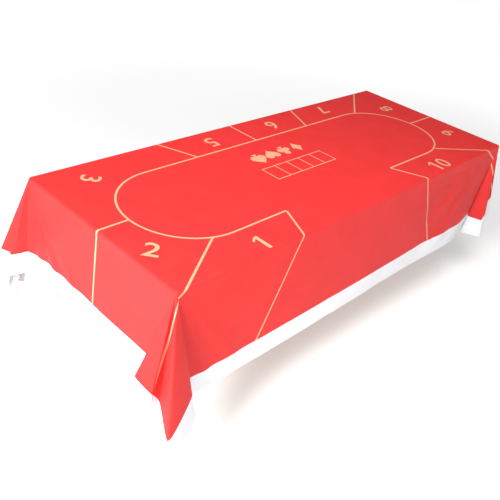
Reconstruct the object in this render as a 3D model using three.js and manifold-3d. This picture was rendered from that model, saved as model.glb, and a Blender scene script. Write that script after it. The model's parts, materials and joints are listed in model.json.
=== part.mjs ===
// Folding poker table top under a printed layout cloth.
// Millimetres, +Z up. The origin is under the middle of the fold, on the plane of the rubber feet.
// +X runs along the long side and +Y from the dealer's front edge to the back edge.
// Two framed halves swing on three butt hinges under the fold, so that their undersides meet.

import * as THREE from 'three';
import { mergeVertices } from 'three/addons/utils/BufferGeometryUtils.js';
import Module from 'manifold-3d';

const wasm = await Module();
wasm.setup();

// Driving dimensions
const TOP_LENGTH = 1920;
const TOP_WIDTH = 760;
const DECK_THICKNESS = 18;
const DECK_CORNER_RADIUS = 8;
const DECK_ARRIS = 1.5;
const OVERHANG = 40; // deck edge to the outer face of a rail
const RAIL_WIDTH = 28;
const RAIL_HEIGHT = 36;
const FOLD_GAP = 2; // between the two halves at the fold
const TOUCH_GAP = 0.3; // left between pieces that touch

const FOOT = { length: 60, width: 22, height: 8.7 };
const LEFT_FEET_X = [-820, -150];
const RIGHT_FEET_X = [740, 230]; // staggered, so that they miss the left feet when folded

const HINGE_YS = [-260, 0, 260];
const HINGE = { length: 76, leafWidth: 27, leafThickness: 1.8, knuckles: 5, knuckleRadius: 4, pinRadius: 2 };
const KNUCKLE_GAP = 0.4;
const PIN_CLEARANCE = 0.15;
const SCREW = { headRadius: 3.8, shankRadius: 2, length: 21, clearance: 0.3, acrossX: 15, alongY: 24 };

const LATCH_YS = { front: -200, back: 200 };
const PLATE = { width: 30, thickness: 1.5 };
const LEVER_PIVOT = { out: 9, z: 19 }; // out is measured from the end rail's outer face
const LOOP_PIVOT = { out: 13, z: 25 };
const LOOP = { length: 33, halfWidth: 12.5, wireRadius: 1.25 };
const LEVER = { halfWidth: 8.2, length: 23, thickness: 1.8, barrelRadius: 3.4 };
const LATCH_PIN_RADIUS = 1.5;

const HANDLE = { x: -480, length: 126, gripDepth: 12, gripHeight: 20, reach: 38, postWidth: 12 };

const CLOTH = {
  thickness: 1,
  frontDrop: 470, // from the playing surface down to the hem, at the front and the back
  endDrop: 400,
  cornerExtra: 190, // how much lower the corner tips hang than the ends' hem
  slope: 0.075, // how far the drops lean outwards, per unit of drop
  flare: 78, // how far a corner lobe stands out at the hem
  flareReach: 300, // along the edge, from the corner to where its lobe ends
};

// Heights and places that follow
const RAIL_BOTTOM = FOOT.height + TOUCH_GAP;
const DECK_BOTTOM = RAIL_BOTTOM + RAIL_HEIGHT;
const DECK_TOP = DECK_BOTTOM + DECK_THICKNESS;
const HALF_LENGTH = TOP_LENGTH / 2;
const HALF_WIDTH = TOP_WIDTH / 2;
const RAIL_OUTER_X = HALF_LENGTH - OVERHANG;
const RAIL_OUTER_Y = HALF_WIDTH - OVERHANG;
const RAIL_TOP = DECK_BOTTOM - TOUCH_GAP;
const RAIL_MID_Z = (RAIL_BOTTOM + RAIL_TOP) / 2;
const FOLD_FACE = FOLD_GAP / 2;
const LEAF_TOP = RAIL_BOTTOM - TOUCH_GAP;
const LEAF_BOTTOM = LEAF_TOP - HINGE.leafThickness;
const HINGE_Z = LEAF_TOP - TOUCH_GAP - HINGE.knuckleRadius;

const MATERIALS = {
  cloth: material(0xd8201f, 0.55, 0),
  plywood: material(0xc79a63, 0.6, 0),
  pine: material(0xd9b583, 0.65, 0),
  zinc: material(0xb9bcc0, 0.35, 0.9),
  screw: material(0x9fa2a6, 0.4, 0.9),
  rubber: material(0x1c1c1d, 0.85, 0),
  plastic: material(0x18181a, 0.45, 0),
};

const assembly = new THREE.Group();

function material(color, roughness, metalness) {
  return new THREE.MeshStandardMaterial({ color, roughness, metalness });
}

function addPiece(name, geometry, slot) {
  const mesh = new THREE.Mesh(geometry, MATERIALS[slot]);
  mesh.name = name;
  assembly.add(mesh);
}

// Solids: manifold-3d joins and cuts, three.js makes the shapes

function toSolid(geometry) {
  const bare = geometry.clone();
  bare.deleteAttribute('normal');
  bare.deleteAttribute('uv');
  const merged = mergeVertices(bare, 1e-4);
  const vertProperties = new Float32Array(merged.attributes.position.array);
  const triVerts = new Uint32Array(merged.index.array);
  return new wasm.Manifold(new wasm.Mesh({ numProp: 3, vertProperties, triVerts }));
}

function toGeometry(solid) {
  const mesh = solid.getMesh();
  const geometry = new THREE.BufferGeometry();
  geometry.setAttribute('position', new THREE.BufferAttribute(new Float32Array(mesh.vertProperties), 3));
  geometry.setIndex(new THREE.BufferAttribute(new Uint32Array(mesh.triVerts), 1));
  geometry.computeVertexNormals();
  return geometry;
}

function join(geometries) {
  const solids = geometries.map(toSolid);
  return toGeometry(solids.reduce((sum, next) => sum.add(next)));
}

function cut(geometry, tools) {
  const solids = tools.map(toSolid);
  return toGeometry(solids.reduce((rest, tool) => rest.subtract(tool), toSolid(geometry)));
}

// A box between two opposite corners
function blockBetween(low, high) {
  const size = high.map((value, axis) => value - low[axis]);
  const geometry = new THREE.BoxGeometry(size[0], size[1], size[2]);
  return geometry.translate(low[0] + size[0] / 2, low[1] + size[1] / 2, low[2] + size[2] / 2);
}

// A round bar along Y, from y0 to y1
function barAlongY(radius, x, z, y0, y1, sides = 24) {
  const geometry = new THREE.CylinderGeometry(radius, radius, y1 - y0, sides);
  return geometry.translate(x, (y0 + y1) / 2, z);
}

// An outline drawn in X and Z, extruded along Y from y0 to y1
function plateAlongY(shape, y0, y1) {
  const geometry = new THREE.ExtrudeGeometry(shape, { depth: y1 - y0, bevelEnabled: false, curveSegments: 10 });
  return geometry.rotateX(Math.PI / 2).translate(0, y1, 0);
}

// Deck: plywood with eased edges, round outer corners and square corners at the fold

function deck(side) {
  const inset = DECK_ARRIS;
  const foldX = side * (FOLD_FACE + inset);
  const endX = side * (HALF_LENGTH - inset);
  const y = HALF_WIDTH - inset;
  const radius = DECK_CORNER_RADIUS;
  const shape = new THREE.Shape();
  shape.moveTo(foldX, -y);
  shape.lineTo(endX - side * radius, -y);
  shape.quadraticCurveTo(endX, -y, endX, -y + radius);
  shape.lineTo(endX, y - radius);
  shape.quadraticCurveTo(endX, y, endX - side * radius, y);
  shape.lineTo(foldX, y);
  shape.closePath();
  const geometry = new THREE.ExtrudeGeometry(shape, {
    depth: DECK_THICKNESS - 2 * inset,
    bevelSize: inset,
    bevelThickness: inset,
    bevelSegments: 2,
    curveSegments: 6,
  });
  return geometry.translate(0, 0, DECK_BOTTOM + inset);
}

// Frame: rails and battens glued under the deck

function screwHoles(side) {
  const holes = [];
  for (const hingeY of HINGE_YS) {
    for (const along of [-SCREW.alongY, SCREW.alongY]) {
      const radius = SCREW.shankRadius + SCREW.clearance;
      const depth = SCREW.length + SCREW.clearance;
      const hole = new THREE.CylinderGeometry(radius, radius, depth, 16).rotateX(Math.PI / 2);
      holes.push(hole.translate(side * SCREW.acrossX, hingeY + along, LEAF_BOTTOM + depth / 2));
    }
  }
  return holes;
}

function addFrame(prefix, side) {
  const outer = [side * RAIL_OUTER_X, side * FOLD_FACE];
  const xLow = Math.min(...outer);
  const xHigh = Math.max(...outer);
  const innerY = RAIL_OUTER_Y - RAIL_WIDTH;
  const crossY = innerY - TOUCH_GAP;
  const strip = (x0, x1) => [Math.min(x0, x1), Math.max(x0, x1)];

  addPiece(`${prefix}_front_rail`,
    blockBetween([xLow, -RAIL_OUTER_Y, RAIL_BOTTOM], [xHigh, -innerY, RAIL_TOP]), 'pine');
  addPiece(`${prefix}_back_rail`,
    blockBetween([xLow, innerY, RAIL_BOTTOM], [xHigh, RAIL_OUTER_Y, RAIL_TOP]), 'pine');

  const [endLow, endHigh] = strip(side * RAIL_OUTER_X, side * (RAIL_OUTER_X - RAIL_WIDTH));
  addPiece(`${prefix}_end_rail`,
    blockBetween([endLow, -crossY, RAIL_BOTTOM], [endHigh, crossY, RAIL_TOP]), 'pine');

  const [foldLow, foldHigh] = strip(side * FOLD_FACE, side * (FOLD_FACE + RAIL_WIDTH));
  const foldRail = blockBetween([foldLow, -crossY, RAIL_BOTTOM], [foldHigh, crossY, RAIL_TOP]);
  addPiece(`${prefix}_fold_rail`, cut(foldRail, screwHoles(side)), 'pine');

  const battenX = side * (FOLD_FACE + RAIL_OUTER_X) / 2;
  addPiece(`${prefix}_batten`,
    blockBetween([battenX - RAIL_WIDTH / 2, -crossY, RAIL_BOTTOM], [battenX + RAIL_WIDTH / 2, crossY, RAIL_TOP]),
    'pine');

  for (const [where, ySide] of [['front', -1], ['back', 1]]) {
    addPiece(`${prefix}_${where}_corner_block`, cornerBlock(side, ySide), 'plywood');
  }
}

// A three-cornered block glued into an outer corner of the frame
function cornerBlock(side, ySide) {
  const reach = 60;
  const x = side * (RAIL_OUTER_X - RAIL_WIDTH - TOUCH_GAP);
  const y = ySide * (RAIL_OUTER_Y - RAIL_WIDTH - TOUCH_GAP);
  const shape = new THREE.Shape();
  shape.moveTo(x, y);
  shape.lineTo(x - side * reach, y);
  shape.lineTo(x, y - ySide * reach);
  shape.closePath();
  const geometry = new THREE.ExtrudeGeometry(shape, { depth: RAIL_HEIGHT * 0.7, bevelEnabled: false });
  return geometry.translate(0, 0, RAIL_TOP - RAIL_HEIGHT * 0.7);
}

// Feet: rubber blocks that hold the hinges clear of whatever carries the top

function foot(x, y) {
  const radius = 4;
  const halfLength = FOOT.length / 2 - radius;
  const halfWidth = FOOT.width / 2 - radius;
  const shape = new THREE.Shape();
  shape.absarc(halfLength, halfWidth, radius, 0, Math.PI / 2);
  shape.absarc(-halfLength, halfWidth, radius, Math.PI / 2, Math.PI);
  shape.absarc(-halfLength, -halfWidth, radius, Math.PI, 1.5 * Math.PI);
  shape.absarc(halfLength, -halfWidth, radius, 1.5 * Math.PI, 2 * Math.PI);
  const geometry = new THREE.ExtrudeGeometry(shape, { depth: FOOT.height, bevelEnabled: false, curveSegments: 5 });
  return geometry.translate(x, y, 0);
}

function addFeet(prefix, places) {
  const railY = RAIL_OUTER_Y - RAIL_WIDTH / 2;
  for (const [where, y] of [['front', -railY], ['back', railY]]) {
    addPiece(`${prefix}_${where}_outer_foot`, foot(places[0], y), 'rubber');
    addPiece(`${prefix}_${where}_inner_foot`, foot(places[1], y), 'rubber');
  }
}

// Butt hinges under the fold: the left leaf has the odd knuckles and holds the pin

function hingeLeaf(side, y) {
  const pitch = HINGE.length / HINGE.knuckles;
  const start = y - HINGE.length / 2;
  const inner = side * HINGE.knuckleRadius;
  const [xLow, xHigh] = [inner, side * HINGE.leafWidth].sort((a, b) => a - b);
  const pieces = [blockBetween([xLow, start, LEAF_BOTTOM], [xHigh, start + HINGE.length, LEAF_TOP])];
  const cuts = [barAlongY(HINGE.pinRadius + PIN_CLEARANCE, 0, HINGE_Z, start - 1, start + HINGE.length + 1)];
  for (let knuckle = 0; knuckle < HINGE.knuckles; knuckle += 1) {
    const mine = (knuckle % 2 === 0) === (side < 0);
    if (!mine) continue;
    const y0 = start + knuckle * pitch + KNUCKLE_GAP / 2;
    const y1 = y0 + pitch - KNUCKLE_GAP;
    const [webLow, webHigh] = [0, side * (HINGE.knuckleRadius + 1)].sort((a, b) => a - b);
    pieces.push(barAlongY(HINGE.knuckleRadius, 0, HINGE_Z, y0, y1));
    pieces.push(blockBetween([webLow, y0, LEAF_BOTTOM], [webHigh, y1, HINGE_Z + HINGE.knuckleRadius]));
  }
  for (const along of [-SCREW.alongY, SCREW.alongY]) {
    const sink = new THREE.CylinderGeometry(
      SCREW.shankRadius + SCREW.clearance,
      SCREW.headRadius + SCREW.clearance,
      HINGE.leafThickness + 0.02,
      24,
    );
    sink.rotateX(Math.PI / 2);
    cuts.push(sink.translate(side * SCREW.acrossX, y + along, (LEAF_BOTTOM + LEAF_TOP) / 2));
  }
  return cut(join(pieces), cuts);
}

// A countersunk cross-head screw, driven upwards from the leaf's lower face
function hingeScrew(x, y) {
  const head = HINGE.leafThickness;
  const profile = [
    [0, 0],
    [SCREW.headRadius, 0],
    [SCREW.shankRadius, head],
    [SCREW.shankRadius, SCREW.length - 4],
    [0, SCREW.length],
  ].map(([radius, height]) => new THREE.Vector2(radius, height));
  const body = new THREE.LatheGeometry(profile, 20).rotateX(Math.PI / 2);
  const slotDepth = 1.1;
  const slots = [
    blockBetween([-2.3, -0.45, -1], [2.3, 0.45, slotDepth]),
    blockBetween([-0.45, -2.3, -1], [0.45, 2.3, slotDepth]),
  ];
  return cut(body, slots).translate(x, y, LEAF_BOTTOM);
}

function addHinges() {
  HINGE_YS.forEach((y, index) => {
    const name = `hinge_${index + 1}`;
    const halfPin = HINGE.length / 2 + 0.8;
    addPiece(`${name}_left_leaf`, hingeLeaf(-1, y), 'zinc');
    addPiece(`${name}_right_leaf`, hingeLeaf(1, y), 'zinc');
    addPiece(`${name}_pin`, barAlongY(HINGE.pinRadius, 0, HINGE_Z, y - halfPin, y + halfPin), 'zinc');
    for (const [half, side] of [['left', -1], ['right', 1]]) {
      for (const [where, along] of [['front', -SCREW.alongY], ['back', SCREW.alongY]]) {
        addPiece(`${name}_${half}_${where}_screw`, hingeScrew(side * SCREW.acrossX, y + along), 'screw');
      }
    }
  });
}

// Draw latches: base, lever and wire loop on the left end rail, hooked catch on the right one

function leftEndX(out) {
  return -RAIL_OUTER_X - out;
}

// An ear that carries the lever's pin: a strip with a round end, drawn in X and Z
function earShape() {
  const { out, z } = LEVER_PIVOT;
  const radius = 4.5;
  const shape = new THREE.Shape();
  shape.moveTo(leftEndX(TOUCH_GAP), z - radius);
  shape.lineTo(leftEndX(TOUCH_GAP), z + radius);
  shape.lineTo(leftEndX(out), z + radius);
  shape.absarc(leftEndX(out), z, radius, Math.PI / 2, 1.5 * Math.PI);
  shape.closePath();
  return shape;
}

function latchBase(y) {
  const pieces = [
    blockBetween(
      [leftEndX(TOUCH_GAP + PLATE.thickness), y - PLATE.width / 2, 12],
      [leftEndX(TOUCH_GAP), y + PLATE.width / 2, 40],
    ),
    plateAlongY(earShape(), y - 10, y - 9),
    plateAlongY(earShape(), y + 9, y + 10),
  ];
  const bore = barAlongY(LATCH_PIN_RADIUS + 0.2, leftEndX(LEVER_PIVOT.out), LEVER_PIVOT.z, y - 12, y + 12);
  return cut(join(pieces), [bore]);
}

function latchLever(y) {
  const { halfWidth, length, thickness, barrelRadius } = LEVER;
  const x = leftEndX(LEVER_PIVOT.out);
  const top = LEVER_PIVOT.z + length;
  const pieces = [
    barAlongY(barrelRadius, x, LEVER_PIVOT.z, y - halfWidth, y + halfWidth),
    blockBetween([x - thickness / 2, y - halfWidth, LEVER_PIVOT.z], [x + thickness / 2, y + halfWidth, top]),
    blockBetween([x - 5, y - halfWidth, top - thickness], [x, y + halfWidth, top]),
  ];
  const tabWidth = 2;
  const tabReach = 2.6;
  for (const [y0, y1] of [[y - halfWidth, y - halfWidth + tabWidth], [y + halfWidth - tabWidth, y + halfWidth]]) {
    const loopX = leftEndX(LOOP_PIVOT.out);
    pieces.push(barAlongY(tabReach, loopX, LOOP_PIVOT.z, y0, y1));
    pieces.push(blockBetween([loopX, y0, LOOP_PIVOT.z - 2], [x, y1, LOOP_PIVOT.z + 2]));
  }
  const cuts = [
    barAlongY(LATCH_PIN_RADIUS + 0.2, x, LEVER_PIVOT.z, y - 12, y + 12),
    barAlongY(LOOP.wireRadius + 0.2, leftEndX(LOOP_PIVOT.out), LOOP_PIVOT.z, y - 12, y + 12),
  ];
  return cut(join(pieces), cuts);
}

// A rounded wire that hangs from the lever's tabs: in, down, across, up and in again
function latchLoop(y) {
  const x = leftEndX(LOOP_PIVOT.out);
  const low = LOOP_PIVOT.z - LOOP.length;
  const inner = LEVER.halfWidth - 2.2;
  const path = new THREE.CurvePath();
  const bend = 3;
  const corner = (from, at, to) => {
    const start = at.clone().lerp(from, bend / at.distanceTo(from));
    const end = at.clone().lerp(to, bend / at.distanceTo(to));
    return { start, end, curve: new THREE.QuadraticBezierCurve3(start, at, end) };
  };
  const points = [
    [-inner, LOOP_PIVOT.z],
    [-LOOP.halfWidth, LOOP_PIVOT.z],
    [-LOOP.halfWidth, low],
    [LOOP.halfWidth, low],
    [LOOP.halfWidth, LOOP_PIVOT.z],
    [inner, LOOP_PIVOT.z],
  ].map(([across, z]) => new THREE.Vector3(x, y + across, z));
  let last = points[0];
  for (let index = 1; index < points.length - 1; index += 1) {
    const turn = corner(points[index - 1], points[index], points[index + 1]);
    path.add(new THREE.LineCurve3(last, turn.start));
    path.add(turn.curve);
    last = turn.end;
  }
  path.add(new THREE.LineCurve3(last, points[points.length - 1]));
  const section = new THREE.Shape();
  section.absarc(0, 0, LOOP.wireRadius, 0, 2 * Math.PI);
  return new THREE.ExtrudeGeometry(section, { steps: 36, curveSegments: 5, bevelEnabled: false, extrudePath: path });
}

// The catch on the right end rail: a plate with a shelf and an upturned lip
function latchCatch(y) {
  const x = RAIL_OUTER_X + TOUCH_GAP;
  const shelfLow = 13;
  const shelfReach = 10.5;
  const lipHigh = 20;
  return join([
    blockBetween([x, y - PLATE.width / 2, 11], [x + PLATE.thickness, y + PLATE.width / 2, 31]),
    blockBetween([x, y - 8, shelfLow], [RAIL_OUTER_X + shelfReach, y + 8, shelfLow + 1.8]),
    blockBetween([RAIL_OUTER_X + shelfReach - 1.8, y - 8, shelfLow], [RAIL_OUTER_X + shelfReach, y + 8, lipHigh]),
  ]);
}

function addLatches() {
  for (const [where, y] of Object.entries(LATCH_YS)) {
    const pin = barAlongY(LATCH_PIN_RADIUS, leftEndX(LEVER_PIVOT.out), LEVER_PIVOT.z, y - 10.8, y + 10.8, 16);
    addPiece(`${where}_latch_base`, latchBase(y), 'zinc');
    addPiece(`${where}_latch_pin`, pin, 'screw');
    addPiece(`${where}_latch_lever`, latchLever(y), 'zinc');
    addPiece(`${where}_latch_loop`, latchLoop(y), 'zinc');
    addPiece(`${where}_latch_catch`, latchCatch(y), 'zinc');
  }
}

// Carrying handle: a grip on two posts, under the deck's overhang on the left front rail

function gripShape() {
  const halfDepth = HANDLE.gripDepth / 2;
  const straight = HANDLE.gripHeight / 2 - halfDepth;
  const centreY = -RAIL_OUTER_Y - HANDLE.reach + halfDepth;
  const shape = new THREE.Shape();
  shape.absarc(centreY, RAIL_MID_Z + straight, halfDepth, 0, Math.PI);
  shape.absarc(centreY, RAIL_MID_Z - straight, halfDepth, Math.PI, 2 * Math.PI);
  return shape;
}

function addHandle() {
  const { x, length, postWidth, reach, gripDepth } = HANDLE;
  const grip = new THREE.ExtrudeGeometry(gripShape(), {
    depth: length - 4, bevelSize: -1.5, bevelThickness: 2, bevelSegments: 2, bevelOffset: 0, curveSegments: 8,
  });
  // The outline's X becomes the part's Y and its Y becomes the part's Z.
  grip.applyMatrix4(new THREE.Matrix4().set(0, 0, 1, x - length / 2 + 2, 1, 0, 0, 0, 0, 1, 0, 0, 0, 0, 0, 1));
  addPiece('handle_grip', grip, 'plastic');
  const postInner = -RAIL_OUTER_Y - TOUCH_GAP;
  const postOuter = -RAIL_OUTER_Y - reach + gripDepth + TOUCH_GAP;
  for (const [where, side] of [['left', -1], ['right', 1]]) {
    const centre = x + side * (length / 2 - postWidth);
    addPiece(`handle_${where}_post`, blockBetween(
      [centre - postWidth / 2, postOuter, RAIL_MID_Z - 8],
      [centre + postWidth / 2, postInner, RAIL_MID_Z + 8],
    ), 'plastic');
  }
}

// Layout cloth: a thin open-bottomed shell over the top, with a lobe at each corner

// Points round the top's edge, each with its outward direction and how much lobe it carries
function clothOutline() {
  const radius = DECK_CORNER_RADIUS + TOUCH_GAP;
  const boxX = HALF_LENGTH + TOUCH_GAP - radius;
  const boxY = HALF_WIDTH + TOUCH_GAP - radius;
  const outline = [];
  const cornerSteps = 6;
  const quarters = [[1, 1], [-1, 1], [-1, -1], [1, -1]];
  quarters.forEach(([sx, sy], index) => {
    const startAngle = index * Math.PI / 2;
    for (let step = 0; step <= cornerSteps; step += 1) {
      const angle = startAngle + step / cornerSteps * Math.PI / 2;
      outline.push({ x: sx * boxX, y: sy * boxY, nx: Math.cos(angle), ny: Math.sin(angle), lobe: 1 });
    }
    const alongX = index % 2 === 0;
    const half = alongX ? boxX : boxY;
    const sideSteps = alongX ? 26 : 12;
    const angle = startAngle + Math.PI / 2;
    for (let step = 1; step < sideSteps; step += 1) {
      const along = -half + 2 * half * step / sideSteps;
      const direction = index < 2 ? -1 : 1;
      const x = alongX ? direction * along : sx * boxX;
      const y = alongX ? sy * boxY : direction * along;
      const toCorner = half - Math.abs(along);
      const lobe = Math.max(0, 1 - toCorner / CLOTH.flareReach) ** 2;
      outline.push({ x, y, nx: Math.cos(angle), ny: Math.sin(angle), lobe });
    }
  });
  return { outline, radius };
}

function clothShell() {
  const { outline, radius } = clothOutline();
  const stages = [0, 0.15, 0.55, 1];
  const positions = [];
  const indices = [];
  const count = outline.length;

  // One wall of the shell: a centre point, then a ring of the outline at each stage
  function addWall(grow, lift) {
    const first = positions.length / 3;
    const top = DECK_TOP + TOUCH_GAP + lift;
    positions.push(0, 0, top);
    for (const stage of stages) {
      for (const point of outline) {
        const drop = CLOTH.endDrop * point.nx ** 2 + CLOTH.frontDrop * point.ny ** 2;
        const tip = CLOTH.endDrop + CLOTH.cornerExtra;
        const hem = drop + (tip - drop) * point.lobe;
        const out = radius + grow + stage * (hem * CLOTH.slope + CLOTH.flare * point.lobe * stage);
        positions.push(point.x + out * point.nx, point.y + out * point.ny, top - lift * stage - hem * stage);
      }
    }
    return first;
  }

  function addTriangle(a, b, c, outside) {
    indices.push(...(outside ? [a, b, c] : [a, c, b]));
  }

  function coverWall(first, outside) {
    for (let index = 0; index < count; index += 1) {
      const next = (index + 1) % count;
      addTriangle(first, first + 1 + index, first + 1 + next, outside);
      for (let stage = 0; stage < stages.length - 1; stage += 1) {
        const upper = first + 1 + stage * count;
        const lower = upper + count;
        addTriangle(upper + index, lower + index, lower + next, outside);
        addTriangle(upper + index, lower + next, upper + next, outside);
      }
    }
  }

  const outerFirst = addWall(CLOTH.thickness, CLOTH.thickness);
  const innerFirst = addWall(0, 0);
  coverWall(outerFirst, true);
  coverWall(innerFirst, false);
  const lastRing = 1 + (stages.length - 1) * count;
  for (let index = 0; index < count; index += 1) {
    const next = (index + 1) % count;
    const outer = outerFirst + lastRing;
    const inner = innerFirst + lastRing;
    addTriangle(outer + index, inner + index, inner + next, true);
    addTriangle(outer + index, inner + next, outer + next, true);
  }
  const geometry = new THREE.BufferGeometry();
  geometry.setAttribute('position', new THREE.Float32BufferAttribute(positions, 3));
  geometry.setIndex(indices);
  geometry.computeVertexNormals();
  return geometry;
}

for (const [prefix, side] of [['left', -1], ['right', 1]]) {
  addPiece(`${prefix}_deck`, deck(side), 'plywood');
  addFrame(prefix, side);
}
addFeet('left', LEFT_FEET_X);
addFeet('right', RIGHT_FEET_X);
addHinges();
addLatches();
addHandle();
addPiece('layout_cloth', clothShell(), 'cloth');

export default assembly;
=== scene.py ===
"""Folding poker table top under a draped, printed layout cloth.

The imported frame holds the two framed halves, their hinges, latches and handle. This script drapes the cloth
over them by simulation, prints the layout on it, sews its hem and gives every piece its material.
Metres, +Z up, +X along the long side, +Y from the dealer's edge to the back edge.
"""
import json
import math

import bpy
import numpy as np
from mathutils import Matrix, Vector
from mathutils.geometry import delaunay_2d_cdt


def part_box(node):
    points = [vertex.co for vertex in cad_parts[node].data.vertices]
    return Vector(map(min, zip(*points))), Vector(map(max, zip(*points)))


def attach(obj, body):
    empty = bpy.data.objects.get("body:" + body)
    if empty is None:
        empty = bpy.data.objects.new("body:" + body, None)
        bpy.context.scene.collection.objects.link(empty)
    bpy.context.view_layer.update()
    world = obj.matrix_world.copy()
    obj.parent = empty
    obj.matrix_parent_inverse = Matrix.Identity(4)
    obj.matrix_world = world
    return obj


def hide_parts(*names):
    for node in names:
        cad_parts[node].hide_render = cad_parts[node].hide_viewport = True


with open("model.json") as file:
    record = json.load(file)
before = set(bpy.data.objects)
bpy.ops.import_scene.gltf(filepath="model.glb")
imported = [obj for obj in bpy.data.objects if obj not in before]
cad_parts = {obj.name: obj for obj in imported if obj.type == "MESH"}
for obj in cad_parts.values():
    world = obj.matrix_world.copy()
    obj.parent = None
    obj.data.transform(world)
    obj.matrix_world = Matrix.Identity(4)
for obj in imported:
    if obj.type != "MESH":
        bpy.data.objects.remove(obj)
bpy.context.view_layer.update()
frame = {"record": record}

# ---------------------------------------------------------------- driving dimensions

DECK_LOW, DECK_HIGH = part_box("right_deck")
HALF_LENGTH = DECK_HIGH[0]
HALF_WIDTH = DECK_HIGH[1]
DECK_TOP = DECK_HIGH[2]

CLOTH_SIZE = (2.63, 1.66)  # flat cut, along X and along Y
PRINT_SIZE = (2.45, 1.48)  # the red field; the rest is an unprinted white border
CLOTH_CENTRE = (-0.037, -0.012)  # the cloth lies a little towards the left end and the dealer
CLOTH_THICKNESS = 0.0004
CLOTH_REST = 0.0007  # the cloth's printed face above the deck
HEM_WIDTH = 0.022
LINE_WIDTH = 0.0072
BOX_LINE_WIDTH = 0.0042
NUMERAL_HEIGHT = 0.072
NUMERAL_STRETCH = 1.12  # the numbers are wider than the font draws them

BEND_INSET = 0.0035  # the cloth starts to bend this far inside the deck's edge
BEND_RADIUS = 0.008
BEND_LENGTH = BEND_RADIUS * math.pi / 2
BEND_X = HALF_LENGTH - BEND_INSET
BEND_Y = HALF_WIDTH - BEND_INSET
LEAN_REACH = 0.50  # how far along a drop the lean that it has at a corner dies away

SIM_STEP = 0.028  # grid of the simulation
DRAPE_FRAMES = 20
HELD_STRIP = (0.02, 0.07)  # from held fast to hanging free, past a deck edge
GATHER_HOLD = 0.50  # how firmly the gathered corners keep to their starting shape
DROP_HOLD = 0.05

FINE_STEP = 0.012  # grid of the finished mesh on the drops
DECK_STEP = 0.040  # and on the flat deck
RAY_STEP = math.radians(1.25)  # rays of the finished mesh round a corner
OUTLINE_STEP = 0.007  # spacing of points along the printed edges

# The spare cloth at each corner, from the side drop round to the end drop. Each pair is a lean from vertical
# in degrees: past the end, and past the side. The first and the last are the drops' own leans there.
CORNER_FOLDS = {
    ("left", "front"): [(-4, 0.5), (3, 1), (-9.5, 5.5), (7.5, 11), (4.5, -0.5), (8.5, -3.5), (11.5, 1.5),
                        (16, -10), (0.5, -5)],
    ("left", "back"): [(0, 1.5), (-9, 7.5), (-1, 5), (3, 15), (4.5, 6.5), (8.5, 13.5), (9, 7.5), (13, 17),
                       (11.5, 9.5), (13, 5), (2, 3.5)],
    ("right", "front"): [(2.5, -6), (9, -7), (-0.5, -3.5), (14, 2.5), (17, -0.5), (21.5, 1.5), (25, -1.5),
                         (14.5, -4), (24.5, -11.5), (10, -5)],
    ("right", "back"): [(0, 1), (-8, 8), (0, 4.5), (5, 15), (5.5, 5), (13, 13.5), (9, 3), (16, -7), (1, 0)],
}
# The drops' leans between the corners, in degrees: along +X and along +Y. The cloth lies a little askew.
DROP_LEANS = {"left": (0, 6), "right": (0, 0), "front": (4.5, 0), "back": (0, 0)}

# Creases that fan out over a drop from a deck corner. Each has its slope from the deck's edge in degrees, its
# height, and its width in degrees of slope.
FANNED_CREASES = {
    ("front", "right"): [(8, 0.005, 2.8), (17, 0.009, 3.6), (28, 0.012, 4.8), (42, 0.013, 6.5),
                         (60, 0.010, 8)],
    ("front", "left"): [(73, 0.006, 4), (58, 0.005, 5)],
    ("left", "back"): [(78, 0.007, 4), (64, 0.009, 5), (48, 0.007, 6)],
}
FOLD_ROUNDING = 0.72  # how far the curve swings out round each fold: 0 is sharp, 1 is full

# The printed layout, in the flat cloth
TRACK = {"left": -0.847, "right": 0.775, "front": -0.245, "back": 0.2165}
DEALER_GAP = (-0.372, 0.261)  # where the track is open for the dealer
CARD_BOXES = {"left": -0.219, "right": 0.120, "front": -0.0726, "back": 0.014, "count": 5}
EMBLEM = {"centre": (-0.049, 0.089), "pitch": 0.074, "height": 0.068}

# Seat dividers: where each leaves the track, and its direction, out to the edge of the print
DIVIDERS = [
    ((-0.372, -0.2495), (-0.065, -0.1355)),
    ((0.261, -0.2495), (0.065, -0.1355)),
    ((-0.6985, -0.234), (-0.261, -0.168)),
    ((-0.847, -0.012), (-1.0, 0.0)),
    ((-0.363, 0.2165), (-0.061, 0.149)),
    ((-0.043, 0.2165), (0.0, 1.0)),
    ((0.274, 0.2165), (0.068, 0.149)),
    ((0.620, 0.205), (0.2417, 0.1875)),
    ((0.775, -0.010), (1.0, 0.0)),
    ((0.6267, -0.240), (0.209, -0.1357)),
]

# Seat numbers: place, and the way that their tops point, in degrees from +X
NUMERALS = [
    ("1", (-0.581, -0.337), 90),
    ("2", (-0.890, -0.182), 40),
    ("3", (-0.796, 0.272), -45),
    ("5", (-0.2245, 0.2917), -90),
    ("6", (0.1344, 0.2956), -90),
    ("7", (0.4935, 0.3086), -90),
    ("8", (0.829, 0.1664), 180),
    ("9", (0.855, -0.1695), 180),
    ("10", (0.5027, -0.337), 90),
]


# ---------------------------------------------------------------- the hung starting shape

def lean_direction(past_end, past_side):
    """Unit vectors for leans from straight down, given in degrees."""
    lean_x, lean_y = np.radians(past_end), np.radians(past_side)
    lean = np.hypot(lean_x, lean_y)
    ratio = np.sinc(lean / math.pi)
    return np.stack([lean_x * ratio, lean_y * ratio, -np.cos(lean)], axis=-1)


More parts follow.
